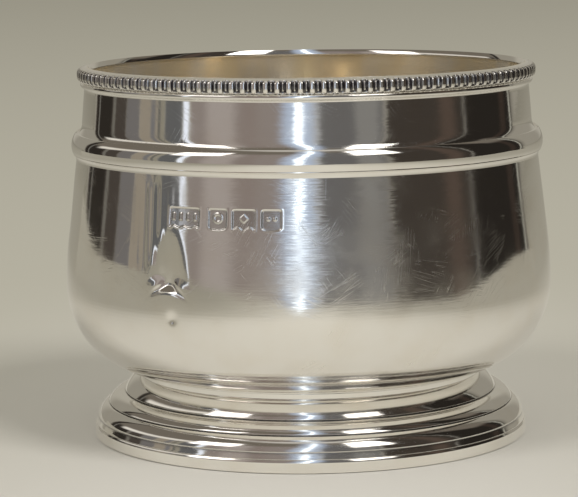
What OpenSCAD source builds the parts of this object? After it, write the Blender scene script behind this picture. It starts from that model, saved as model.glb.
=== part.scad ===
// Silver sugar bowl on a stepped round foot, in millimetres.
// The origin is the centre of the ring that it stands on, and +Z is up.
// Every piece is turned about Z, and the pieces meet face to face, as soldered work does.

/* [Bowl] */
// Largest radius of the belly
belly_r = 48; // [47.7:0.1:48.4]
// Height of the flat bottom's underside above the table
bottom_z = 13; // [12.8:0.1:14]
// Radius of the curve from the bottom to the belly
shoulder_r = 17; // [15:0.5:18]
// Radius of the gentle curve above the belly
flank_r = 75; // [60:5:90]
// Lean of the straight upper wall, in degrees
flank_lean = 6.9; // [6:0.1:7.2]
// Thickness of the bowl's sheet
wall = 0.8; // [0.7:0.05:1.1]

/* [Collar] */
// Height at which the bowl and the collar butt together
joint_z = 58.4; // [58:0.1:58.8]
// Outer radius of the upright collar
collar_r = 43.7; // [43.2:0.1:44]
// Height of the collar's top edge
collar_top_z = 73; // [72:0.1:75]
// How far the collar spreads towards its foot
collar_spread = 0.55; // [0.4:0.05:0.6]
// Radius of the small cove above the girdle
cove_r = 3.5; // [3.2:0.1:3.8]
// Angle that the cove sweeps through, in degrees
cove_lean = 33; // [30:1:34]
// Depth of the crevice behind the girdle wire's upper edge
crevice = 0.35; // [0.2:0.05:0.4]

/* [Girdle] */
// Height of the girdle wire's lower edge
girdle_z = 56.4; // [56:0.1:56.6]
// Height of the girdle wire
girdle_h = 4; // [3.8:0.1:4.2]
// How far the girdle wire stands out from the wall
girdle_out = 0.95; // [0.8:0.05:1.1]
// Height of the girdle wire's fullest line above its lower edge
girdle_full_z = 1.4; // [1.2:0.1:1.8]
// Radius of the girdle wire's rounded face
girdle_round = 4; // [3.8:0.1:4.4]
// Height of the fillet under the girdle wire
fillet_h = 1.2; // [0.9:0.1:1.3]
// How far the fillet stands out from the wall
fillet_out = 0.6; // [0.4:0.05:0.7]

/* [Rim] */
// Height of the reeded border wire
border_h = 2.9; // [2.6:0.1:3.2]
// How far the border wire stands out from the collar
border_out = 1.4; // [1.2:0.05:1.6]
// Radius of the border wire's rounded edges
border_edge = 0.9; // [0.7:0.05:1]
// Number of reeds round the border
reed_count = 132; // [120:1:140]
// Depth of the pockets between the reeds
pocket_depth = 0.45; // [0.3:0.05:0.6]
// Height of the plain bead under the border
bead_h = 1.1; // [0.9:0.1:1.3]
// How far the bead stands out from the collar
bead_out = 0.75; // [0.6:0.05:0.9]
// Height of the lip bead inside the mouth
lip_h = 1.2; // [1:0.1:1.3]
// How far the lip bead stands in from the collar's inner face
lip_in = 0.5; // [0.5:0.05:0.7]
// Radius of the lip bead's gently rounded face
lip_round = 4; // [3:0.5:5]
// Lean of the lip bead's face at its top, in degrees
lip_lean = 33; // [30:1:35]

/* [Foot] */
// Outer radius of the neck between the bowl and the foot
neck_r = 34; // [33.6:0.1:34.4]
// Width of the neck ring
neck_w = 1.6; // [1.3:0.1:1.8]
// Height of the foot shell's top edge
shell_top_z = 12.3; // [12:0.1:12.4]
// Thickness of the foot's sheet
foot_wall = 0.7; // [0.6:0.05:0.9]
// Outer radius of the ring that the bowl stands on
base_r = 43; // [42.8:0.1:43.6]
// Height of the ring that the bowl stands on
base_h = 2.6; // [2.3:0.1:2.8]
// Depth of the quirk between two steps of the foot
quirk = 0.25; // [0.15:0.05:0.3]

/* [Hidden] */
$fn = 180;

// Bowl: the shoulder's centre, and where the gentle curve meets the straight wall.
belly_z = bottom_z + shoulder_r;
shoulder_x = belly_r - shoulder_r;
flank_z = belly_z + flank_r * sin(flank_lean);
flank_x = belly_r - flank_r * (1 - cos(flank_lean));
// The upright land at the top of the bowl, which carries the girdle and its fillet.
land_z = girdle_z - fillet_h;
land_r = flank_x - (land_z - flank_z) * tan(flank_lean);

// Collar: the cove's centre, its foot at the girdle's top, and the top of the sloping inner wall.
girdle_top_z = girdle_z + girdle_h;
cove_x = collar_r + collar_spread + cove_r;
cove_z = girdle_top_z + cove_r * sin(cove_lean);
cove_foot_r = cove_x - cove_r * cos(cove_lean);
slope_z = girdle_top_z + 4;

// Rim: the border wire, with the bead under it.
border_z = collar_top_z + 0.2 - border_h;
bead_z = border_z - bead_h;
pocket_pitch = 360 / reed_count;
pocket_w = 0.46 * 2 * PI * (collar_r + border_out) / reed_count;
pocket_h = border_h - 0.6;
// Radius of the lip bead's lower edge, and the lean of its face just above that edge.
lip_edge = 0.25;
lip_foot_lean = asin(sin(lip_lean) - (lip_h - lip_edge) / lip_round);

// Foot: radius and height of the outer corner under each step, and each step's bulge radius.
step_r = [36.95, 40.2, 42.4];
step_z = [8.95, 6.75, 3.95];
step_bulge = [8, 3.8, 4.4];
// Bevel round the top of the standing ring.
bevel_w = 0.25;
bevel_h = 0.5;

// Points on an arc about a centre, from one angle to another.
function arc(cx, cz, r, from, to, steps = 12) =
    [for (i = [0:steps]) let (a = from + (to - from) * i / steps) [cx + r * cos(a), cz + r * sin(a)]];

// Points on the arc of radius r that bulges outwards and upwards between two points.
function bulge(p, q, r, steps = 10) =
    let (m = (p + q) / 2, d = q - p, len = norm(d), h = sqrt(pow(r, 2) - pow(len / 2, 2)))
    let (c = m + h * [d[1], -d[0]] / len)
    let (a0 = atan2(p[1] - c[1], p[0] - c[0]), a1 = atan2(q[1] - c[1], q[0] - c[0]))
    arc(c[0], c[1], r, a0, a1, steps);

// The half section of the solid bowl, drawn in by a given thickness.
module bowl_outline(inset) {
    lean_inset = inset / cos(flank_lean);
    translate([0, bottom_z + inset]) square([shoulder_x, shoulder_r - inset]);
    intersection() {
        translate([shoulder_x, belly_z]) circle(r = shoulder_r - inset);
        translate([shoulder_x, bottom_z]) square([shoulder_r, shoulder_r]);
    }
    intersection() {
        translate([belly_r - flank_r, belly_z]) circle(r = flank_r - inset, $fn = 720);
        translate([0, belly_z]) square([belly_r, flank_z - belly_z]);
    }
    polygon([[0, belly_z], [shoulder_x, belly_z], [flank_x - lean_inset, flank_z],
             [land_r - lean_inset, land_z], [0, land_z]]);
    translate([0, land_z]) square([land_r - lean_inset, joint_z - land_z]);
}

// Belly and bottom, spun from one sheet.
module bowl_body() {
    color("silver") rotate_extrude() difference() {
        bowl_outline(0);
        bowl_outline(wall);
    }
}

// Upright band above the girdle, with a cove at its foot and a crevice behind the girdle's edge.
module collar_band() {
    land_in = land_r - wall / cos(flank_lean);
    outer = concat(
        [[land_r, joint_z], [land_r, girdle_top_z - crevice], [cove_foot_r + 0.1, girdle_top_z - crevice / 2]],
        arc(cove_x, cove_z, cove_r, 180 + cove_lean, 180, 8),
        [[collar_r, bead_z], [collar_r, collar_top_z]]);
    inner = [[collar_r - wall, collar_top_z], [collar_r - wall, slope_z],
             [land_in, girdle_top_z - 1], [land_in, joint_z]];
    color("gainsboro") rotate_extrude() polygon(concat(outer, inner));
}

// Bead inside the mouth, which stiffens the edge. Its face leans back towards the top.
module mouth_lip() {
    face_r = collar_r - wall;
    in_r = face_r - lip_in;
    low_z = collar_top_z - lip_h;
    round_x = in_r + lip_round * cos(lip_foot_lean);
    round_z = collar_top_z - lip_round * sin(lip_lean);
    color("whitesmoke") rotate_extrude() polygon(concat(
        [[face_r, low_z], [face_r, collar_top_z]],
        arc(round_x, round_z, lip_round, 180 - lip_lean, 180 - lip_foot_lean, 6),
        arc(in_r + lip_edge, low_z + lip_edge, lip_edge, 180, 270, 4)));
}

// Border wire, rolled with reeds and round-bottomed pockets.
module rim_border() {
    mid_z = border_z + border_h / 2;
    out_r = collar_r + border_out;
    edge_x = out_r - border_edge;
    section = concat(
        [[collar_r, border_z]],
        arc(edge_x, border_z + border_edge, border_edge, -90, 0, 6),
        arc(edge_x, border_z + border_h - border_edge, border_edge, 0, 90, 6),
        [[collar_r, border_z + border_h]]);
    color("lightgray") difference() {
        rotate_extrude() polygon(section);
        for (i = [0:reed_count - 1])
            rotate([0, 0, i * pocket_pitch])
                translate([out_r - pocket_depth, -pocket_w / 2, mid_z - pocket_h / 2])
                    cube([pocket_depth + 1, pocket_w, pocket_h]);
    }
}

// Plain bead between the border and the collar.
module rim_bead() {
    r = (pow(bead_h / 2, 2) + pow(bead_out, 2)) / (2 * bead_out);
    color("darkgray") rotate_extrude() intersection() {
        translate([collar_r + bead_out - r, bead_z + bead_h / 2]) circle(r = r);
        translate([collar_r, bead_z]) square([bead_out + 1, bead_h]);
    }
}

// D-section wire that covers the joint of bowl and collar, fullest below its middle.
module girdle_wire() {
    color("lightsteelblue") rotate_extrude() intersection() {
        translate([land_r + girdle_out - girdle_round, girdle_z + girdle_full_z]) circle(r = girdle_round);
        translate([land_r, girdle_z]) square([girdle_out + 1, girdle_h]);
    }
}

// Small hollow moulding under the girdle wire.
module girdle_fillet() {
    hollow_x = land_r + fillet_h + 0.1;
    hollow_end = 180 - acos((hollow_x - land_r - fillet_out) / fillet_h);
    color("slategray") rotate_extrude() polygon(concat(
        [[land_r, land_z]],
        arc(hollow_x, land_z, fillet_h, 180, hollow_end, 8),
        [[land_r + fillet_out, girdle_z], [land_r, girdle_z]]));
}

// Neck ring, which fits the bowl's round underside.
module foot_collet() {
    color("darkgray") rotate_extrude() difference() {
        translate([neck_r - neck_w, shell_top_z]) square([neck_w, 3]);
        bowl_outline(0);
    }
}

// Stepped shell of the foot, hollow beneath.
module foot_shell() {
    top = [neck_r, shell_top_z];
    outer = concat(
        bulge(top, [step_r[0], step_z[0]], step_bulge[0]),
        [[step_r[0] - quirk, step_z[0] - quirk]],
        bulge([step_r[0] + quirk, step_z[0] - quirk], [step_r[1], step_z[1]], step_bulge[1]),
        [[step_r[1] - quirk, step_z[1] - quirk]],
        bulge([step_r[1] + quirk, step_z[1] - quirk], [step_r[2], step_z[2]], step_bulge[2]),
        [[step_r[2] - quirk / 2, step_z[2] - quirk / 2], [base_r - bevel_w, base_h]]);
    last = len(outer) - 1;
    inner = [for (i = [0:last]) [outer[last - i][0] - foot_wall, max(outer[last - i][1] - foot_wall, base_h)]];
    flange = [[neck_r - neck_w, shell_top_z - foot_wall], [neck_r - neck_w, shell_top_z]];
    color("silver") rotate_extrude() polygon(concat(outer, inner, flange));
}

// Ring that the bowl stands on, with a rounded lower edge and a bevelled upper one.
module foot_rim() {
    edge_r = 0.35;
    inner_r = base_r - 2.2;
    section = concat(
        [[inner_r, 0]],
        arc(base_r - edge_r, edge_r, edge_r, -90, 0, 6),
        [[base_r, base_h - bevel_h], [base_r - bevel_w, base_h], [inner_r, base_h]]);
    color("gainsboro") rotate_extrude() polygon(section);
}

bowl_body();
collar_band();
mouth_lip();
rim_border();
rim_bead();
girdle_wire();
girdle_fillet();
foot_collet();
foot_shell();
foot_rim();
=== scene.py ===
import math

import bpy
import numpy as np
from mathutils import Matrix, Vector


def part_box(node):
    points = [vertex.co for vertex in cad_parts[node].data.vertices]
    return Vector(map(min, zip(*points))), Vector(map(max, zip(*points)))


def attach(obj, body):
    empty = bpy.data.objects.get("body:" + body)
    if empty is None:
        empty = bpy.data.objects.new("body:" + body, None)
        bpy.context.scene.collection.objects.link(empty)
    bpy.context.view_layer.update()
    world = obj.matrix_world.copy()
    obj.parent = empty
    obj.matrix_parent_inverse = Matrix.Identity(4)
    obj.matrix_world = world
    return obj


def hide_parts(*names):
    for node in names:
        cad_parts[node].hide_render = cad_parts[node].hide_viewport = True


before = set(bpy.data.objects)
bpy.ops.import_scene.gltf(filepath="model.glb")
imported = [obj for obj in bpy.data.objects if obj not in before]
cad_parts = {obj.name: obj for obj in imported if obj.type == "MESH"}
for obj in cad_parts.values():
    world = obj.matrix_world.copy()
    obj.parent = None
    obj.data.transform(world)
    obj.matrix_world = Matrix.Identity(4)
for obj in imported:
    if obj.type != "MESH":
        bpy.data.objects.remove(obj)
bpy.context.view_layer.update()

# A silver sugar bowl on a stepped foot. Every piece is turned about Z, in metres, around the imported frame.
# Outlines are in millimetres, as (radius, height), and run anticlockwise: up the outside, down the inside.
# An angle round the bowl is 0 at the front, towards -Y, and grows towards +X.

MM = 0.001


# ---------------------------------------------------------------- sizes

def extent(node):
    """A round node's outer radius, lowest height and highest height, in millimetres."""
    low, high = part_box(node)
    return high.x / MM, low.z / MM, high.z / MM


belly_r, bottom_z, joint_z = extent("bowl_body")
land_r, _, _ = extent("collar_band")
border_r, border_z, mouth_z = extent("rim_border")
bead_r, bead_z, _ = extent("rim_bead")
girdle_r, girdle_z, girdle_top_z = extent("girdle_wire")
fillet_r, land_z, _ = extent("girdle_fillet")
neck_r, shell_top_z, _ = extent("foot_collet")
base_r, _, base_h = extent("foot_rim")

# Bowl: sheet thickness, the curve at the shoulder, the gentle curve above it and the straight wall's lean.
WALL = 0.8
SHOULDER_R = 17.0
FLANK_R = 75.0
FLANK_LEAN = 6.9
belly_z = bottom_z + SHOULDER_R
shoulder_x = belly_r - SHOULDER_R

# Collar, which spreads a little downwards, with a shallow cove at its foot and a small one under the bead.
COLLAR_R = 43.7
COLLAR_SPREAD = 0.55
COVE_R = 3.5
COVE_LEAN = 33.0
CREVICE = 0.35
BEAD_COVE = 0.45

# Border wire: how square its face is (2 is an ellipse), its reeds, and the share of a reed's pitch that each
# pocket and tongue takes, with the pocket's depth and how far the tongue stands up in it. A reed's sides fall
# by REED_CROWN towards its pockets, and the painted shade spreads past a pocket by a share of the pitch.
FACE_POWER = 3.0
REEDS = 132
POCKET_SHARE = 0.5
POCKET_DEPTH = 0.45
TONGUE_SHARE = 0.15
TONGUE_RISE = 0.36
REED_CROWN = 0.14
REED_CROWN_POWER = 2.4
PAINTED_SHADE_SPREAD = 0.06

# Mouth: how far its top falls outwards to the border; the lip's height, how far it stands in and its lower
# corner; and the radius of the lip's leaning face, with its lean at the top.
RIM_FALL = 0.24
LIP_H = 1.2
LIP_IN = 0.5
LIP_EDGE = 0.25
LIP_ROUND = 4.0
LIP_LEAN = 33.0

# Girdle wire: radius of its rounded face, and how high above its lower edge it is fullest.
GIRDLE_ROUND = 4.0
GIRDLE_FULL = 1.4

# Foot: sheet thickness, the neck's width, and the outer corner and bulge of each step.
FOOT_WALL = 0.7
NECK_W = 1.6
QUIRK = 0.25
STEPS = [(36.95, 8.95, 8.0), (40.2, 6.75, 3.8), (42.4, 3.95, 4.4)]
BEVEL = (0.25, 0.5)
RING_EDGE = 0.35
RING_W = 2.2


# ---------------------------------------------------------------- outlines

def arc(cx, cz, r, start, end, steps=12):
    """Points on an arc about a centre, from one angle to another in degrees."""
    turn = np.radians(np.linspace(start, end, steps + 1))
    return [(cx + r * math.cos(a), cz + r * math.sin(a)) for a in turn]


def bulge(p, q, r, steps=14):
    """Points on the arc of radius r that bulges outwards and upwards between two points."""
    p, q = np.array(p), np.array(q)
    step = q - p
    length = np.linalg.norm(step)
    height = math.sqrt(r * r - length * length / 4)
    c = (p + q) / 2 + height * np.array([step[1], -step[0]]) / length
    start, end = (math.degrees(math.atan2(*(t - c)[::-1])) for t in (p, q))
    return arc(c[0], c[1], r, start, end, steps)


def wire(wall_r, low_z, high_z, out_r, steps=24):
    """The outline of a wire with a flat back on an upright wall and a round face."""
    half, out = (high_z - low_z) / 2, out_r - wall_r
    r = (half * half + out * out) / (2 * out)
    turn = math.degrees(math.asin(half / r))
    return arc(out_r - r, low_z + half, r, -turn, turn, steps)


def soften(points, cut, closed=True, sharp=25):
    """Rounds every corner that turns by more than sharp degrees, starting the round at cut before it."""
    points = [np.array(p, float) for p in points]
    made = []
    for i, p in enumerate(points):
        if not closed and i in (0, len(points) - 1):
            made.append(p)
            continue
        before, after = points[i - 1] - p, points[(i + 1) % len(points)] - p
        a, b = np.linalg.norm(before), np.linalg.norm(after)
        turn = 180 - math.degrees(math.acos(np.clip(before @ after / (a * b), -1, 1)))
        if turn < sharp:
            made.append(p)
            continue
        start = p + before / a * min(cut, 0.45 * a)
        end = p + after / b * min(cut, 0.45 * b)
        for t in np.linspace(0, 1, 6):
            made.append((1 - t) ** 2 * start + 2 * t * (1 - t) * p + t * t * end)
    return made


def refine(points, pitch, closed=True):
    """Divides an outline's sides until none is longer than pitch, a length or a function of the place."""
    made = []
    last = len(points) if closed else len(points) - 1
    for i in range(last):
        p, q = np.array(points[i]), np.array(points[(i + 1) % len(points)])
        longest = pitch(*((p + q) / 2)) if callable(pitch) else pitch
        count = max(1, math.ceil(np.linalg.norm(q - p) / longest))
        made += [p + (q - p) * k / count for k in range(count)]
    if not closed:
        made.append(np.array(points[-1]))
    return np.array(made)


# ---------------------------------------------------------------- turned meshes

def evenly(count):
    """Angles round the bowl, evenly spaced from the back."""
    return np.linspace(-math.pi, math.pi, count, endpoint=False)


def outward(outline, closed):
    """The outline's normals, pointing out of the solid."""
    if closed:
        along = np.roll(outline, -1, 0) - np.roll(outline, 1, 0)
    else:
        along = np.gradient(outline, axis=0)
    along /= np.linalg.norm(along, axis=1)[:, None]
    return np.stack([along[:, 1], -along[:, 0]], 1)


def turned(name, outline, angles, swell=None, painted_shade=None, gilt=None):
    """A solid of revolution. An outline that starts on the axis ends on it, and any other one is closed.
    swell moves the surface outwards, in millimetres. The last two rules give attributes for the material:
    painted shade in the hollows, and the gilding."""
    on_axis = outline[0][0] < 1e-6
    normal = outward(outline, not on_axis)
    phi, r, z = angles[:, None], outline[None, :, 0], outline[None, :, 1]
    lift = swell(phi, r, z) if swell else np.zeros((1, 1))
    lift = np.broadcast_to(lift, (len(angles), len(outline)))
    radius, height = r + normal[None, :, 0] * lift, z + normal[None, :, 1] * lift
    points = np.stack([radius * np.sin(phi), -radius * np.cos(phi), height], 2) * MM
    values = {}
    for key, rule in (("painted_shade", painted_shade), ("gilt", gilt)):
        if rule:
            values[key] = np.broadcast_to(rule(phi, r, z), points.shape[:2])
    if on_axis:
        points, values = points[:, 1:-1], {k: v[:, 1:-1] for k, v in values.items()}
    columns, rows = points.shape[:2]
    i, j = np.meshgrid(np.arange(columns), np.arange(rows if not on_axis else rows - 1), indexing="ij")
    beside, above = (i + 1) % columns, (j + 1) % rows
    quads = np.stack([i * rows + j, beside * rows + j, beside * rows + above, i * rows + above], 2)
    faces = quads.reshape(-1, 4).tolist()
    vertices = points.reshape(-1, 3)
    if on_axis:
        ends = [[0, 0, outline[0][1] * MM], [0, 0, outline[-1][1] * MM]]
        low, high = len(vertices), len(vertices) + 1
        vertices = np.vstack([vertices, ends])
        for c in range(columns):
            d = (c + 1) % columns
            faces.append([low, d * rows, c * rows])
            faces.append([high, c * rows + rows - 1, d * rows + rows - 1])
    mesh = bpy.data.meshes.new(name)
    mesh.from_pydata(vertices.tolist(), [], faces)
    mesh.shade_smooth()
    for key, value in values.items():
        flat = np.zeros(len(vertices), np.float32)
        flat[:columns * rows] = value.reshape(-1)
        flat[columns * rows:] = value[0, -1]
        mesh.attributes.new(key, "FLOAT", "POINT").data.foreach_set("value", flat)
    piece = bpy.data.objects.new(name, mesh)
    bpy.context.scene.collection.objects.link(piece)
    return piece


def finish_piece(piece, node, material):
    """Puts a piece on its body, in place of its CAD node, with its finish."""
    piece.data.materials.append(material)
    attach(piece, "root")
    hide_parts(node)


# ---------------------------------------------------------------- hand work

def smooth(t):
    """0 below 0, 1 above 1, and an even ease between."""
    t = np.clip(t, 0, 1)
    return t * t * (3 - 2 * t)


def ripples(seed, count, size, waves, tall):
    """A gentle unevenness: count waves of up to size millimetres, each of which repeats up to waves times
    round the piece and is no shorter than tall millimetres up it."""
    rng = np.random.default_rng(seed)
    parts = []
    for _ in range(count):
        k = int(rng.integers(1, waves + 1))
        parts.append((size * rng.uniform(0.3, 1) / (1 + k / 6), k, rng.uniform(0, 6.28),
                      6.28 / rng.uniform(tall, 5 * tall), rng.uniform(0, 6.28)))

    def lift(phi, r, z):
        return sum(a * np.cos(k * phi + p) * np.cos(m * z + q) for a, k, p, m, q in parts)

    return lift


# Punches: four blank cartouches, each with an angle, a width, a kind of lower edge and a plain raised figure.
# PUNCH_CORNER is how sharp their corners are.
PUNCH_Z = 47.9
PUNCH_H = 3.4
PUNCH_DEPTH = 0.16
PUNCH_EDGE = 0.22
PUNCH_CORNER = 6
PUNCHES = [(-29.3, 6.4, "scallop", "bars"), (-20.8, 3.6, "round", "ring"),
           (-14.6, 4.4, "wave", "lozenge"), (-8.2, 3.7, "round", "dots")]


def punch_floor(shape, u, w):
    """How far a punch's lower edge hangs below its straight base."""
    if shape == "scallop":
        return 0.35 * np.abs(np.sin(u / w * 3 * math.pi))
    if shape == "wave":
        return 0.3 * np.cos(u / w * 4 * math.pi) + 0.2
    return 0.55 * np.sqrt(np.clip(1 - (2 * u / w) ** 2, 0, 1))


def punch_figure(figure, u, v):
    """1 on the plain raised figure in a punch."""
    if figure == "bars":
        return smooth((0.34 - np.abs((u + 4.5) % 1.5 - 0.75)) / 0.18) * smooth((0.75 - np.abs(v)) / 0.2)
    if figure == "ring":
        return smooth((0.3 - np.abs(np.hypot(u, v) - 0.75)) / 0.18)
    if figure == "lozenge":
        return smooth((0.95 - np.abs(u) - np.abs(v)) / 0.22)
    across = np.minimum(np.hypot(u - 0.6, v), np.hypot(u + 0.6, v))
    return smooth((0.42 - across) / 0.2)


def punches(phi, r, z):
    """Depth of the four punches below the left shoulder's surface."""
    depth = 0
    for centre, w, shape, figure in PUNCHES:
        u = (phi - math.radians(centre)) * land_r + 0 * z
        v = z - PUNCH_Z + 0 * phi
        sides = (w / 2 - np.abs(u), PUNCH_H / 2 - v, v + PUNCH_H / 2 + punch_floor(shape, u, w))
        inside = -np.log(sum(np.exp(-PUNCH_CORNER * np.maximum(side, -20)) for side in sides)) / PUNCH_CORNER
        field = smooth(inside / PUNCH_EDGE)
        burr = 0.2 * np.exp(-((inside + 0.12) / 0.12) ** 2)
        depth = depth + PUNCH_DEPTH * (field * (1 - 0.75 * punch_figure(figure, u, v)) - burr)
    return -depth


# Dent: a knock on the belly's left front. It deepens downwards to a sharp crease, arched over a small pit.
# Its sizes are its reach above and below the crease, its half width low down and at its tip, and how far it
# narrows at the crease. Faint folds run beside it.
DENT_ANGLE = -33.2
DENT_Z = 35.5
DENT_DEPTH = 0.95
DENT_UP = 10.5
DENT_FOOT = 2.1
DENT_HALF = 3.2
DENT_TIP = 0.9
DENT_PINCH = 0.38
CREASE_FALL = 0.075
FOLD_DEPTH = 0.022
PIT_ANGLE = -31.9
PIT_Z = 28.8
PIT_DEPTH = 0.28
PIT_R = 0.95


def dent(phi, r, z):
    """Depth of the dent, the folds beside it and the small pit below it."""
    u = (phi - math.radians(DENT_ANGLE)) * belly_r + 0 * z
    up = (z - DENT_Z + CREASE_FALL * u * u) / DENT_UP
    t = np.clip(up, 0, 1)
    pinch = 1 - DENT_PINCH * np.exp(-(up * DENT_UP / 1.1) ** 2)
    half = pinch * (DENT_HALF * np.sqrt(1 - t) + DENT_TIP * t)
    rise = np.where(up > 0, (1 - t) ** 1.15, smooth(1 + up * DENT_UP / DENT_FOOT))
    hollow = DENT_DEPTH * rise * np.exp(-np.abs(u / np.maximum(half, 0.3)) ** 2.7)
    folds = FOLD_DEPTH * np.cos(2.9 * u + 0.12 * z) * np.exp(-((u + 3.5) / 4) ** 2) * smooth((z - 36) / 4)
    v = np.hypot((phi - math.radians(PIT_ANGLE)) * belly_r, z - PIT_Z)
    return folds - hollow - PIT_DEPTH * np.exp(-(v / PIT_R) ** 2) - 0.06 * np.exp(-(v / 3.0) ** 2)


# ---------------------------------------------------------------- the pieces

def make_bowl_body(material):
    """Belly and bottom, spun from one sheet, with the punches and the dent."""
    lean = math.radians(FLANK_LEAN)
    inset = WALL / math.cos(lean)
    outline = [(0, bottom_z)]
    outline += arc(shoulder_x, belly_z, SHOULDER_R, -90, 0, 40)
    outline += arc(belly_r - FLANK_R, belly_z, FLANK_R, 0, FLANK_LEAN, 16)[1:]
    outline += [(land_r, land_z), (land_r, joint_z), (land_r - inset, joint_z), (land_r - inset, land_z)]
    outline += arc(belly_r - FLANK_R, belly_z, FLANK_R - WALL, FLANK_LEAN, 0, 10)
    outline += arc(shoulder_x, belly_z, SHOULDER_R - WALL, 0, -90, 26)[1:]
    outline += [(0, bottom_z + WALL)]

    def pitch(r, z):
        outside = r > belly_r - 3
        if outside and abs(z - PUNCH_Z) < PUNCH_H / 2 + 0.9:
            return 0.13
        if outside and 27 < z < 47:
            return 0.25
        return 0.9 if r > shoulder_x else 3.0

    angles = np.radians(np.concatenate([np.linspace(-45, -5, 258, endpoint=False),
                                        np.linspace(-5, 315, 229, endpoint=False)]))
    uneven = ripples(3, 14, 0.035, 9, 9)

    def within(z, past=0):
        """True on the inner face's points, which follow the outline's top. past leaves out the first few."""
        return np.arange(z.shape[1])[None, :] > np.argmax(z[0]) + past

    def swell(phi, r, z):
        lower = smooth((land_z - z) / 6)
        upper = smooth((r - belly_r + 3.6) / 0.6) * smooth((land_z - z) / 4)
        knock = dent(phi, r, z)
        return uneven(phi, r, z) * lower + upper * np.where(within(z), -knock, punches(phi, r, z) + knock)

    def gilt(phi, r, z):
        return within(z, 3) + 0 * phi

    # Painted shade: darkens the colour in the punches' hollows, on the outer face only.
    def painted_shade(phi, r, z):
        return 0.3 * smooth(-punches(phi, r, z) / 0.08) * ~within(z)

    piece = turned("bowl_shell", refine(soften(outline, 0.12, closed=False), pitch, closed=False), angles,
                   swell=swell, painted_shade=painted_shade, gilt=gilt)
    finish_piece(piece, "bowl_body", material)


def make_collar(material):
    """Upright band above the girdle, with a cove at each edge and a crevice between it and the girdle."""
    foot_r = COLLAR_R + COLLAR_SPREAD
    cove_x, cove_z = foot_r + COVE_R, girdle_top_z + COVE_R * math.sin(math.radians(COVE_LEAN))
    inset = WALL / math.cos(math.radians(FLANK_LEAN))
    cove = arc(cove_x, cove_z, COVE_R, 180 + COVE_LEAN, 180, 20)
    outline = [(land_r, joint_z), (land_r, girdle_top_z - CREVICE),
               (cove[0][0] + 0.1, girdle_top_z - CREVICE / 2)] + cove
    outline += arc(COLLAR_R + BEAD_COVE, bead_z - 0.9 * BEAD_COVE, BEAD_COVE, 180, 116, 6)
    outline += [(COLLAR_R, bead_z), (COLLAR_R, mouth_z - RIM_FALL)]
    outline += [(COLLAR_R - WALL, mouth_z), (COLLAR_R - WALL, girdle_top_z + 4)]
    outline += [(land_r - inset, girdle_top_z - 1), (land_r - inset, joint_z)]

    def gilt(phi, r, z):
        return r < COLLAR_R - WALL / 2 + 0 * phi

    piece = turned("collar_shell", refine(soften(outline, 0.08), 0.5), evenly(400),
                   swell=ripples(5, 10, 0.012, 14, 6), gilt=gilt)
    finish_piece(piece, "collar_band", material)


def make_mouth_lip(material):
    """Lip inside the mouth, which stiffens the edge. Its rounded face leans back towards the top."""
    face_r = COLLAR_R - WALL
    low, in_r = mouth_z - LIP_H, face_r - LIP_IN
    rise = math.sin(math.radians(LIP_LEAN))
    foot_lean = math.degrees(math.asin(rise - (LIP_H - LIP_EDGE) / LIP_ROUND))
    centre = in_r + LIP_ROUND * math.cos(math.radians(foot_lean)), mouth_z - LIP_ROUND * rise
    outline = [(face_r, low), (face_r, mouth_z)]
    outline += arc(*centre, LIP_ROUND, 180 - LIP_LEAN, 180 - foot_lean, 12)
    outline += arc(in_r + LIP_EDGE, low + LIP_EDGE, LIP_EDGE, 180, 270, 6)[1:]
    piece = turned("mouth_bead", refine(soften(outline, 0.05), 0.2), evenly(400),
                   swell=ripples(8, 6, 0.01, 12, 6))
    finish_piece(piece, "mouth_lip", material)


def reed_columns():
    """Angles that fall on the edges of every reed, pocket and tongue."""
    half, tongue = POCKET_SHARE / 2, TONGUE_SHARE / 2
    side = [tongue - 0.025, tongue + 0.02, (tongue + half) / 2, half - 0.025, half + 0.02, half + 0.06,
            half + 0.12, half + 0.19]
    share = np.array([-s for s in side[::-1]] + side)
    return np.concatenate([(share + i) * 2 * math.pi / REEDS - math.pi for i in range(REEDS)])


def make_border(material):
    """Border wire, rolled with reeds and round-bottomed pockets that each hold a narrow tongue."""
    mid_z = (border_z + mouth_z - RIM_FALL) / 2
    reach = mid_z - border_z
    turn = np.linspace(-math.pi / 2, math.pi / 2, 60)
    out = (border_r - COLLAR_R) * np.cos(turn) ** (2 / FACE_POWER)
    up = reach * np.sign(turn) * np.abs(np.sin(turn)) ** (2 / FACE_POWER)
    face = list(zip(COLLAR_R + out, mid_z + up))

    def place(phi, z):
        """How far from a pocket's middle, as a share of a reed's pitch, and how far up: -1 to 1."""
        share = (phi + math.pi) * REEDS / (2 * math.pi)
        return np.abs((share + 0.5) % 1 - 0.5) + 0 * z, (z - mid_z) / reach + 0 * phi

    def tongue(across, up):
        return smooth((TONGUE_SHARE / 2 + 0.02 - across) / 0.045) * smooth((up + 0.66) / 0.14)

    def pocket(across, up, spread=0.0):
        low = -0.86 - 0.1 * np.sqrt(np.clip(1 - (across / (POCKET_SHARE / 2)) ** 2, 0, 1))
        sides = smooth((POCKET_SHARE / 2 + 0.02 + spread - across) / 0.045)
        return sides * smooth((up - low) / 0.09) * smooth((0.97 - up) / 0.07)

    def swell(phi, r, z):
        across, up = place(phi, z)
        on_face = smooth((r - COLLAR_R - 0.15) / 0.2)
        off_middle = np.clip(0.5 - across, 0, 1) / (0.5 - POCKET_SHARE / 2)
        crown = REED_CROWN * off_middle ** REED_CROWN_POWER
        deep = pocket(across, up) * (POCKET_DEPTH - TONGUE_RISE * tongue(across, up))
        return -on_face * (deep + crown * (across > POCKET_SHARE / 2))

    # Painted shade: darkens each pocket, and a little past its edge, but mostly spares the tongue.
    def painted_shade(phi, r, z):
        across, up = place(phi, z)
        return pocket(across, up, PAINTED_SHADE_SPREAD) * (1 - 0.8 * tongue(across, up))

    piece = turned("reeded_border", refine(soften(face, 0.1), 0.13), reed_columns(), swell=swell, painted_shade=painted_shade)
    finish_piece(piece, "rim_border", material)


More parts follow.
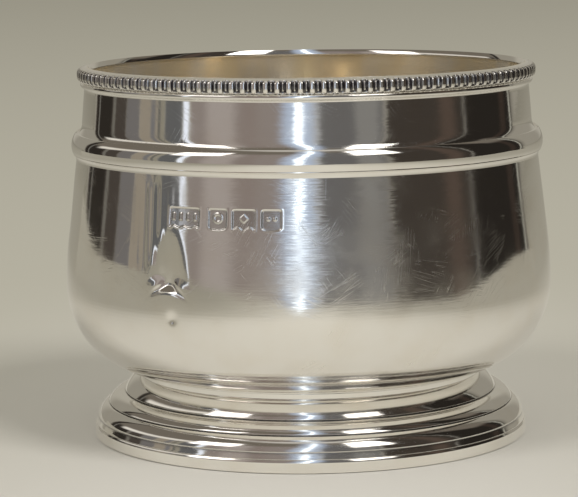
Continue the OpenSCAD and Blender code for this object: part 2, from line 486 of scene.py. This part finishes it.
def make_bead(material):
    """Plain bead between the border and the collar."""
    outline = wire(COLLAR_R, bead_z, border_z, bead_r, 14)
    piece = turned("rim_bead_wire", refine(soften(outline, 0.06), 0.2), evenly(400),
                   swell=ripples(13, 8, 0.012, 20, 8))
    finish_piece(piece, "rim_bead", material)


def make_girdle(material):
    """D-section wire that covers the joint of bowl and collar, fullest below its middle."""
    centre = (girdle_r - GIRDLE_ROUND, girdle_z + GIRDLE_FULL)
    low = -math.degrees(math.asin(GIRDLE_FULL / GIRDLE_ROUND))
    high = math.degrees(math.asin((girdle_top_z - centre[1]) / GIRDLE_ROUND))
    outline = [(land_r, girdle_z)] + arc(*centre, GIRDLE_ROUND, low, high, 28) + [(land_r, girdle_top_z)]
    if outline[-2][0] < land_r:
        high = math.degrees(math.acos((land_r - centre[0]) / GIRDLE_ROUND))
        outline = [(land_r, girdle_z)] + arc(*centre, GIRDLE_ROUND, low, high, 28)
    piece = turned("girdle_band", refine(soften(outline, 0.1), 0.25), evenly(400),
                   swell=ripples(21, 10, 0.012, 14, 6))
    finish_piece(piece, "girdle_wire", material)


def make_fillet(material):
    """Small hollow moulding under the girdle wire."""
    hollow_r = girdle_z - land_z
    hollow_x = land_r + hollow_r + 0.1
    end = 180 - math.degrees(math.acos((hollow_x - fillet_r) / hollow_r))
    outline = [(land_r, land_z)] + arc(hollow_x, land_z, hollow_r, 180, end, 12)
    outline += [(fillet_r, girdle_z), (land_r, girdle_z)]
    piece = turned("girdle_cove", refine(soften(outline, 0.05), 0.15), evenly(400),
                   swell=ripples(22, 6, 0.01, 14, 6))
    finish_piece(piece, "girdle_fillet", material)


def make_neck(material):
    """Neck ring, which fits the bowl's round underside."""
    inner_r = neck_r - NECK_W
    start, end = (-math.degrees(math.acos((x - shoulder_x) / SHOULDER_R)) for x in (neck_r, inner_r))
    outline = [(inner_r, shell_top_z), (neck_r, shell_top_z)]
    outline += arc(shoulder_x, belly_z, SHOULDER_R, start, end, 8)
    piece = turned("foot_neck", refine(soften(outline, 0.06), 0.2), evenly(400),
                   swell=ripples(31, 6, 0.01, 14, 6))
    finish_piece(piece, "foot_collet", material)


def foot_outline():
    """The stepped shell's section, hollow beneath."""
    outer, start = [], (neck_r, shell_top_z)
    for r, z, round_r in STEPS:
        outer += bulge(start, (r, z), round_r)
        quirk = QUIRK if (r, z) != STEPS[-1][:2] else QUIRK / 2
        outer.append((r - quirk, z - quirk))
        start = (r + QUIRK, z - QUIRK)
    outer.append((base_r - BEVEL[0], base_h))
    inner = [(r - FOOT_WALL, max(z - FOOT_WALL, base_h)) for r, z in outer]
    flange = [(neck_r - NECK_W, shell_top_z), (neck_r - NECK_W, shell_top_z - FOOT_WALL)]
    apart = [p for i, p in enumerate(inner) if i == 0 or math.dist(p, inner[i - 1]) > 1e-6]
    return outer[::-1] + flange + apart


def make_steps(material):
    """Stepped shell of the foot."""
    outline = foot_outline()

    # Painted shade: darkens the colour along the small groove under each step.
    def painted_shade(phi, r, z):
        near = [np.exp(-((r - a + QUIRK) ** 2 + (z - b + QUIRK) ** 2) / 0.06) for a, b, _ in STEPS]
        return 0.8 * sum(near) + 0 * phi

    piece = turned("foot_steps", refine(soften(outline, 0.1, sharp=20), 0.3), evenly(420),
                   swell=ripples(33, 12, 0.014, 18, 5), painted_shade=painted_shade)
    finish_piece(piece, "foot_shell", material)


def make_ring(material):
    """Ring that the bowl stands on, with a rounded lower edge and a bevelled upper one."""
    outline = [(base_r - RING_W, 0)] + arc(base_r - RING_EDGE, RING_EDGE, RING_EDGE, -90, 0, 8)
    outline += [(base_r, base_h - BEVEL[1]), (base_r - BEVEL[0], base_h), (base_r - RING_W, base_h)]
    piece = turned("standing_ring", refine(soften(outline, 0.12, sharp=15), 0.3), evenly(420),
                   swell=ripples(41, 8, 0.01, 14, 6))
    finish_piece(piece, "foot_rim", material)


# ---------------------------------------------------------------- materials

class Graph:
    """A material's node tree, built one call a node."""

    def __init__(self, name):
        self.material = bpy.data.materials.new(name)
        self.material.use_nodes = True
        self.tree = self.material.node_tree
        self.tree.nodes.clear()

    def add(self, kind, values=(), **settings):
        """Adds a node. values are its inputs, by name or place: a number, a colour or a node's output."""
        node = self.tree.nodes.new("ShaderNode" + kind)
        for key, value in settings.items():
            setattr(node, key, value)
        for key, value in dict(values).items():
            if isinstance(value, bpy.types.NodeSocket):
                self.tree.links.new(value, node.inputs[key])
            else:
                node.inputs[key].default_value = value
        return node

    def math(self, operation, a, b=0.0, c=0.0):
        return self.add("Math", {0: a, 1: b, 2: c}, operation=operation).outputs[0]

    def ramp(self, value, low, high, start=0.0, end=1.0):
        """value from low to high as start to end, eased."""
        made = self.add("MapRange", {"Value": value, "From Min": low, "From Max": high, "To Min": start,
                                     "To Max": end}, interpolation_type="SMOOTHSTEP")
        return made.outputs["Result"]

    def noise(self, place, scale, detail=3.0, stretch=(1, 1, 1), turn=(0, 0, 0), rough=0.5):
        """Noise of about 1/scale millimetres, stretched along the axes after a turn in degrees."""
        moved = self.add("Mapping", {"Vector": place, "Rotation": [math.radians(a) for a in turn],
                                     "Scale": [1 / (s * scale) for s in stretch]}, vector_type="TEXTURE")
        made = self.add("TexNoise", {"Vector": moved.outputs[0], "Scale": 1.0, "Detail": detail,
                                     "Roughness": rough})
        return made.outputs[0]


def hairlines(graph, place, turn, fine=1.6, keep=0.06):
    """Thin straight scratches in one direction: 1 on a line."""
    lines = graph.noise(place, fine, 1.0, (1, 0.03, 0.03), turn)
    near = graph.math("ABSOLUTE", graph.math("SUBTRACT", lines, 0.5))
    line = graph.ramp(near, 0.003, 0.014, 1.0, 0.0)
    where = graph.noise(place, 0.13, 2.0, (1, 1, 1), turn)
    return graph.math("MULTIPLY", line, graph.ramp(where, 0.63 - keep, 0.70 - keep))


# Colours of the metal: clean silver, how a dull patch tints it, worn gilding, and the painted shade in the
# hollows.
CLEAN = (0.93, 0.915, 0.885)
DULLED = (0.97, 0.955, 0.93)
GILDING = (0.95, 0.85, 0.66, 1)
PAINTED_SHADE_COLOUR = (0.045, 0.04, 0.045, 1)

# What a height of 1 stands for in the finish's relief, in metres, and its scratches' directions, in degrees.
RELIEF = 0.0000045
SCRATCH_TURNS = ((0, 28, 0), (0, 57, 20), (0, -38, 0), (0, -64, -25), (0, 8, 60))

# Where cloths and hands have rubbed the front: each mask's two ends along an axis, in millimetres.
RUBBED_LEFT = (-24, -8)
RUBBED_RIGHT = (22, 40)
RUBBED_BACK = (-20, 5)
GRIP_LOW = (32, 37)
GRIP_HIGH = (42, 50)


def silver(name, rough=0.07, scratched=1.0, turned_lines=0.0, wave=1.0, feather=0.02):
    """Polished silver: waves and swirls of the buff, hairline scratches, dull patches, painted shade in the
    hollows and gilding.
    """
    graph = Graph(name)
    place = graph.add("VectorMath", {0: graph.add("TexCoord").outputs["Object"], 1: (1000, 1000, 1000)},
                      operation="MULTIPLY").outputs[0]
    scratches = None
    for turn in SCRATCH_TURNS:
        made = hairlines(graph, place, turn)
        scratches = made if scratches is None else graph.math("MAXIMUM", scratches, made)
    buffed = graph.noise(place, 1.1, 3.0, (0.25, 0.25, 1.6), rough=0.6)
    patches = graph.noise(place, 0.16, 4.0)
    height = graph.math("ADD", graph.math("MULTIPLY", buffed, wave),
                        graph.math("MULTIPLY", scratches, -0.55 * scratched))
    if turned_lines:
        lines = graph.noise(place, 5.0, 2.0, (0.02, 0.02, 1))
        height = graph.math("ADD", height, graph.math("MULTIPLY", lines, turned_lines))
    x, y, z = graph.add("SeparateXYZ", {0: place}).outputs
    middle = graph.math("MULTIPLY", graph.ramp(x, *RUBBED_LEFT), graph.ramp(x, *RUBBED_RIGHT, 1.0, 0.0))
    rubbed = graph.math("MULTIPLY", middle, graph.ramp(y, *RUBBED_BACK, 1.0, 0.0))
    grip = graph.math("MULTIPLY", graph.ramp(z, *GRIP_LOW), graph.ramp(z, *GRIP_HIGH, 0.6, 0.0))
    handled = graph.math("MULTIPLY", grip, rubbed)
    normal = graph.add("NewGeometry").outputs["Normal"]
    across = graph.add("VectorMath", {0: (0, 0, 1), 1: normal}, operation="CROSS_PRODUCT").outputs[0]
    swirl = graph.noise(place, 1.0, 3.0, (0.35, 0.35, 5.0), rough=0.6)
    aside = graph.math("MULTIPLY", graph.math("SUBTRACT", swirl, 0.5),
                       graph.math("MULTIPLY_ADD", rubbed, feather * 3.4, feather * 0.6))
    pushed = graph.add("VectorMath", {0: across, 1: normal, "Scale": aside}, operation="SCALE").outputs[0]
    feathered = graph.add("VectorMath", {0: normal, 1: pushed}, operation="ADD").outputs[0]
    bump = graph.add("Bump", {"Height": height, "Strength": 1.0, "Distance": RELIEF, "Normal": feathered})
    dull = graph.math("MULTIPLY", graph.ramp(patches, 0.3, 0.75, rough * 0.8, rough * 1.4),
                      graph.math("ADD", graph.math("MULTIPLY_ADD", rubbed, 0.4, 0.6), handled))
    roughness = graph.math("ADD", dull, graph.math("MULTIPLY", scratches, 0.16 * scratched))
    painted_shade = graph.add("Attribute", attribute_name="painted_shade").outputs["Fac"]
    gilt = graph.add("Attribute", attribute_name="gilt").outputs["Fac"]
    rubbed_through = graph.noise(place, 0.1, 3.0, (1, 1, 0.3))
    worn = graph.math("MULTIPLY", gilt, graph.ramp(rubbed_through, 0.38, 0.6, 0.15, 1.0))
    clean = graph.add("MixRGB", {"Fac": graph.ramp(patches, 0.35, 0.8), 1: (*CLEAN, 1),
                                 2: (*(c * d for c, d in zip(CLEAN, DULLED)), 1)})
    gilded = graph.add("MixRGB", {"Fac": worn, 1: clean.outputs[0], 2: GILDING})
    # Painted shade: the pieces' hollow attribute darkens the colour nearly to black, a little unevenly, and
    # roughens it.
    painted_shade_share = graph.math("MULTIPLY", painted_shade, graph.ramp(graph.noise(place, 0.9, 2.0), 0.2, 0.6, 0.75, 1.0))
    colour = graph.add("MixRGB", {"Fac": painted_shade_share, 1: gilded.outputs[0], 2: PAINTED_SHADE_COLOUR})
    dulled = graph.math("ADD", roughness, graph.math("MULTIPLY", painted_shade_share, 0.3))
    rougher = graph.math("ADD", dulled, graph.math("MULTIPLY", gilt, 0.07))
    shader = graph.add("BsdfPrincipled", {"Base Color": colour.outputs[0], "Roughness": rougher,
                                          "Metallic": graph.math("MULTIPLY_ADD", gilt, -0.14, 1.0),
                                          "Normal": bump.outputs[0]})
    output = graph.add("OutputMaterial", {"Surface": shader.outputs[0]})
    output.is_active_output = True
    return graph.material


# ---------------------------------------------------------------- studio

# The floor's paper, with painted light: how far in front of the bowl its painted pool of light is palest, in
# metres, and its colours there and beyond its reach, which is (across, back) in metres; the dimming away from
# the bowl is painted falloff and shade. The silver sees a paper of its own, with its own painted light.
PAINTED_POOL_AHEAD = 0.12
PAPER_PAINTED_LIGHT = ((0.70, 0.68, 0.64, 1), (0.505, 0.49, 0.425, 1), (0.14, 0.42))
PAPER_IN_SILVER_PAINTED_LIGHT = ((0.72, 0.70, 0.645, 1), (0.37, 0.355, 0.31, 1), (0.26, 0.75))
FLOOR_HALF = 8
FLOOR_Z = -0.00006
FLOOR_IN_SILVER_Z = -0.00003


def painted_light_floor_material(name, near, far, reach):
    """Paper with painted light: palest in front of the bowl, a painted pool of light, and dimmer away from it,
    painted falloff and shade.
    """
    graph = Graph(name)
    place = graph.add("TexCoord").outputs["Object"]
    moved = graph.add("Mapping", {"Vector": place, "Location": (0, PAINTED_POOL_AHEAD / reach[1], 0),
                                  "Scale": (1 / reach[0], 1 / reach[1], 0)}).outputs[0]
    away = graph.add("VectorMath", {0: moved}, operation="LENGTH").outputs["Value"]
    # Painted light: a pool palest just ahead of the bowl, growing dimmer with distance from it.
    colour = graph.add("MixRGB", {"Fac": graph.ramp(away, 0.0, 1.0), 1: near, 2: far})
    shader = graph.add("BsdfPrincipled", {"Base Color": colour.outputs[0], "Roughness": 0.9,
                                          "Specular IOR Level": 0.0})
    graph.add("OutputMaterial", {"Surface": shader.outputs[0]})
    return graph.material


def stage_mesh(name, points, faces, material):
    """A surface of the studio, with its points in metres."""
    mesh = bpy.data.meshes.new(name)
    mesh.from_pydata(points, [], faces)
    mesh.materials.append(material)
    sheet = bpy.data.objects.new(name, mesh)
    bpy.context.scene.collection.objects.link(sheet)
    sheet.visible_shadow = False
    return sheet


# The paper's edge as the silver sees it: direction round from the camera in degrees, how far out it lies and how
# high it curls up, in millimetres. Behind the bowl it runs on as the backdrop. It is flat up to CURL_START, a
# share of the way out.
PAPER_EDGE = [(-137, 3000, 0), (-135, 350, 33), (-58, 350, 33), (-34, 350, 26), (-15, 350, 18), (-4, 400, 3),
              (13, 480, 0), (32, 395, 0), (68, 368, 0), (90, 350, 16), (106, 350, 26), (125, 350, 21),
              (127, 3000, 0)]
CURL_START = 0.8


def make_floor():
    """The pale floor, with painted light, and the same paper as the silver sees it, which ends in a curled edge.
    """
    corners = [(x * FLOOR_HALF, y * FLOOR_HALF, FLOOR_Z) for x, y in ((-1, -1), (1, -1), (1, 1), (-1, 1))]
    floor = stage_mesh("floor", corners, [[0, 1, 2, 3]], painted_light_floor_material("floor_paper", *PAPER_PAINTED_LIGHT))
    floor.visible_glossy = False
    seen = painted_light_floor_material("floor_paper_seen_in_silver", *PAPER_IN_SILVER_PAINTED_LIGHT)
    turn = np.arange(-180, 180, 1.0)
    edge = np.array(PAPER_EDGE)
    out = np.interp(turn, edge[:, 0], edge[:, 1])
    curl = np.interp(turn, edge[:, 0], edge[:, 2])
    rings = np.array([0.1, 0.25, 0.4, 0.55, 0.7, 0.8, 0.86, 0.9, 0.93, 0.96, 0.98, 1.0])
    points = [(0.0, 0.0, FLOOR_IN_SILVER_Z)]
    angle = np.radians(turn)
    for ring in rings:
        r = out * ring * MM
        high = curl * np.clip((ring - CURL_START) / (1 - CURL_START), 0, 1) ** 2 * MM
        points += zip(r * np.sin(angle), -r * np.cos(angle), high + FLOOR_IN_SILVER_Z)
    count = len(turn)
    faces = [[0, 1 + i, 1 + (i + 1) % count] for i in range(count)]
    for k in range(len(rings) - 1):
        low, high = 1 + k * count, 1 + (k + 1) * count
        faces += [[low + i, high + i, high + (i + 1) % count, low + (i + 1) % count] for i in range(count)]
    table = stage_mesh("floor_seen_in_silver", points, faces, seen)
    table.visible_camera = False
    table.visible_diffuse = False


# The studio's walls as the silver sees them: from and to, in degrees round from the camera towards +X, how soft
# the edges are, and the colour. A later one covers an earlier one.
WALLS = [
    ("right flag", 40, 126, 3, (0.046, 0.038, 0.031)),
    ("right flag's far half", 84, 126, 12, (0.020, 0.017, 0.014)),
    ("right flag's brown part", 70, 79, 6, (0.082, 0.06, 0.047)),
    ("right flag's gap", 84.6, 86.4, 1.2, (0.17, 0.16, 0.14)),
    ("right flag's brown edge", 114, 119, 3, (0.038, 0.028, 0.022)),
    ("right flag's edge", 123.6, 125.2, 0.8, (0.34, 0.33, 0.28)),
    ("right screen", 6, 39, 4, (0.13, 0.125, 0.122)),
    ("right screen's bright part", 24, 36, 5, (0.21, 0.203, 0.19)),
    ("left screen", -60, -8, 3, (0.25, 0.215, 0.195)),
    ("left screen's bright part", -51, -36, 7, (0.35, 0.31, 0.285)),
    ("left screen's dim part", -33, -25, 6, (0.235, 0.195, 0.175)),
    ("strip lamp", -64.2, -60.9, 1.8, (0.85, 0.9, 1.0)),
    ("left gap", -75.5, -64.5, 2.5, (0.115, 0.115, 0.115)),
    ("gap's edge", -78, -75.5, 1, (0.26, 0.24, 0.19)),
    ("left reflector's shade", -80, -78, 1, (0.13, 0.125, 0.11)),
    ("left reflector", -92.5, -80, 1.5, (0.28, 0.245, 0.195)),
    ("left reflector's cool part", -84.5, -81.5, 1.5, (0.17, 0.165, 0.165)),
    ("left board", -103, -92.5, 1.5, (0.155, 0.145, 0.14)),
    ("left flag", -135, -103, 2, (0.060, 0.050, 0.042)),
    ("left flag's dark half", -134, -116.5, 1.5, (0.026, 0.022, 0.018)),
    ("left flag's slit", -115.5, -112.8, 1, (0.15, 0.14, 0.12)),
    ("left flag's edge", -131, -129.8, 0.7, (0.17, 0.16, 0.14)),
]
BACKDROP = (0.40, 0.375, 0.315)
BACKDROP_SIDE = (0.285, 0.265, 0.22)
# A tall window by the camera and the glow round it: direction, half width, softness and colour. Its upper
# part leans by WINDOW_LEAN degrees.
WINDOW = (-4.0, 1.7, 3.4, (1.85, 2.05, 2.25))
WINDOW_GLOW = (-4.0, 8.0, 8.0, (0.42, 0.49, 0.62))
WINDOW_LEAN = 6.0
CEILING = (0.155, 0.135, 0.11)
CEILING_RIGHT = (0.062, 0.054, 0.045)
OVERHEAD = (0.56, 0.53, 0.48)
OVERHEAD_FROM = 64
# How high the walls reach, right of the long lamp: directions and elevations.
SKYLINE = ((0, 40, 90, 110, 130), (50, 60, 60, 30, 26))
# Softbox on the right: direction, half width, lowest and highest elevation, and colour.
SOFTBOX = (38, 12, 37, 60, (3.0, 2.9, 2.75))
# The long lamp high on the left sinks away from the camera: its elevation at two directions, and its parts,
# each from and to a direction, with its half height and colour.
LONG_LAMP = ((-46, 43), (-120, 18))
LONG_LAMP_PARTS = [(-72, -46, 7.5, (2.3, 2.2, 2.1)), (-124, -72, 3.0, (0.75, 0.71, 0.64))]


def band(value, low, high, soft):
    """1 between low and high, easing over soft at each end."""
    return smooth((value - low) / soft + 0.5) * smooth((high - value) / soft + 0.5)


def room_colour(azimuth, elevation):
    """What the silver sees in a direction, in degrees."""
    def over(under, colour, share):
        return under + (np.array(colour) - under) * share[..., None]

    seen = np.broadcast_to(np.array(BACKDROP), azimuth.shape + (3,)).copy()
    seen = over(seen, BACKDROP_SIDE, band(np.abs(azimuth), 100, 158, 12))
    for _, low, high, soft, colour in WALLS:
        seen = over(seen, colour, band(azimuth, low, high, soft))
    (near, near_up), (far, far_up) = LONG_LAMP
    lamp_up = near_up + (azimuth - near) * (far_up - near_up) / (far - near)
    top = np.where(azimuth < near, np.maximum(lamp_up, far_up), near_up + 8)
    skyline = np.interp(azimuth, (near, *SKYLINE[0]), (near_up, *SKYLINE[1]))
    top = np.where(azimuth > near, skyline, top)
    ceiling = over(np.broadcast_to(np.array(CEILING), seen.shape), CEILING_RIGHT, band(azimuth, 45, 100, 20))
    top = top + (85 - top) * (1 - band(azimuth, -134, 127, 8))
    seen = seen + (ceiling - seen) * smooth((elevation - top) / 8 + 0.5)[..., None]
    seen = over(seen, OVERHEAD, smooth((elevation - OVERHEAD_FROM) / 8 + 0.5))
    for low, high, half, colour in LONG_LAMP_PARTS:
        share = band(azimuth, low, high, 5) * band(elevation, lamp_up - half, lamp_up + half, 4)
        seen = over(seen, colour, share)
    lean = WINDOW_LEAN * smooth((elevation - 20) / 40)
    for middle, half, soft, colour in (WINDOW_GLOW, WINDOW):
        share = band(azimuth - lean, middle - half, middle + half, soft) * band(elevation, -90, 66, 20)
        seen = over(seen, colour, share)
    middle, half, low, high, colour = SOFTBOX
    share = band(azimuth, middle - half, middle + half, 4) * band(elevation, low, high, 5)
    return over(seen, colour, share)


ROOM_R = 3.2


def make_room():
    """A great globe that only the silver sees, coloured as the studio's walls, window and lamps."""
    azimuth, elevation = np.meshgrid(np.arange(-180, 180, 0.4), np.arange(-88, 89, 1.5), indexing="ij")
    a, e = np.radians(azimuth), np.radians(elevation)
    points = ROOM_R * np.stack([np.cos(e) * np.sin(a), -np.cos(e) * np.cos(a), np.sin(e)], 2)
    columns, rows = azimuth.shape
    i, j = np.meshgrid(np.arange(columns), np.arange(rows - 1), indexing="ij")
    beside = (i + 1) % columns
    quads = np.stack([i * rows + j, i * rows + j + 1, beside * rows + j + 1, beside * rows + j], 2)
    mesh = bpy.data.meshes.new("room")
    mesh.from_pydata(points.reshape(-1, 3).tolist(), [], quads.reshape(-1, 4).tolist())
    colour = np.ones((columns, rows, 4), np.float32)
    colour[..., :3] = room_colour(azimuth, elevation)
    mesh.attributes.new("glow", "FLOAT_COLOR", "POINT").data.foreach_set("color", colour.reshape(-1))
    graph = Graph("room_glow")
    glow = graph.add("Attribute", attribute_name="glow")
    light = graph.add("Emission", {"Color": glow.outputs["Color"], "Strength": 1.0})
    graph.add("OutputMaterial", {"Surface": light.outputs[0]})
    graph.material.cycles.emission_sampling = "NONE"
    mesh.materials.append(graph.material)
    room = bpy.data.objects.new("room", mesh)
    bpy.context.scene.collection.objects.link(room)
    room.visible_camera = False
    room.visible_diffuse = False
    room.visible_shadow = False


# The soft lamps: direction and elevation in degrees, and power in watts. They light the floor, and the silver
# sees the room's softbox and long lamp in their place.
LAMPS = [("right_softbox", 42, 46, 38.0), ("left_softbox", -45, 46, 20.0)]
LAMP_DISTANCE = 3.0
LAMP_SIZE = 1.0
LAMP_COLOUR = (1.0, 0.98, 0.95)
WORLD_COLOUR = (0.50, 0.485, 0.44, 1)


def make_lamp(name, azimuth, elevation, power):
    """A soft lamp overhead, which the silver doesn't see."""
    light = bpy.data.lights.new(name, "AREA")
    light.shape = "SQUARE"
    light.size = LAMP_SIZE
    light.energy = power
    light.color = LAMP_COLOUR
    lamp = bpy.data.objects.new(name, light)
    turn = Matrix.Rotation(math.radians(azimuth), 4, "Z")
    tilt = Matrix.Rotation(math.radians(90 - elevation), 4, "X")
    lamp.matrix_world = turn @ tilt @ Matrix.Translation((0, 0, LAMP_DISTANCE))
    lamp.visible_glossy = False
    bpy.context.scene.collection.objects.link(lamp)


def make_light():
    """Even light from all round, and two soft lamps overhead."""
    world = bpy.data.worlds.new("studio")
    world.use_nodes = True
    background = world.node_tree.nodes["Background"]
    background.inputs["Color"].default_value = WORLD_COLOUR
    background.inputs["Strength"].default_value = 1.0
    bpy.context.scene.world = world
    for lamp in LAMPS:
        make_lamp(*lamp)
    bpy.context.scene.view_settings.view_transform = "Standard"


# Camera: its place in millimetres, how it is turned, in degrees, and its lens.
CAMERA_PLACE = (-0.35, -520.0, 107.24)
CAMERA_YAW = 0.384
CAMERA_PITCH = 7.775
CAMERA_ROLL = -0.777
CAMERA_LENS = 164.3


def make_camera():
    """Looks down a little on the bowl from the front, from about half a metre away."""
    data = bpy.data.cameras.new("camera")
    data.lens = CAMERA_LENS
    data.sensor_width = 36
    data.clip_start = 0.01
    data.clip_end = 50
    camera = bpy.data.objects.new("camera", data)
    bpy.context.scene.collection.objects.link(camera)
    camera.matrix_world = (Matrix.Translation([c * MM for c in CAMERA_PLACE])
                           @ Matrix.Rotation(math.radians(CAMERA_YAW), 4, "Z")
                           @ Matrix.Rotation(math.radians(90 - CAMERA_PITCH), 4, "X")
                           @ Matrix.Rotation(math.radians(CAMERA_ROLL), 4, "Z"))
    bpy.context.scene.camera = camera


# ---------------------------------------------------------------- scene

make_camera()
make_light()
make_floor()
make_room()

bowl_silver = silver("bowl_silver", rough=0.12, scratched=0.8, feather=0.028)
collar_silver = silver("collar_silver", rough=0.085, scratched=0.45, feather=0.010)
border_silver = silver("border_silver", rough=0.11, scratched=0.1, wave=0.5, feather=0.01)
wire_silver = silver("wire_silver", rough=0.07, scratched=0.15, wave=0.6, feather=0.015)
foot_silver = silver("foot_silver", rough=0.08, scratched=0.15, turned_lines=0.35, wave=0.6, feather=0.012)

make_bowl_body(bowl_silver)
make_collar(collar_silver)
make_mouth_lip(wire_silver)
make_border(border_silver)
make_bead(wire_silver)
make_girdle(wire_silver)
make_fillet(wire_silver)
make_neck(foot_silver)
make_steps(foot_silver)
make_ring(foot_silver)
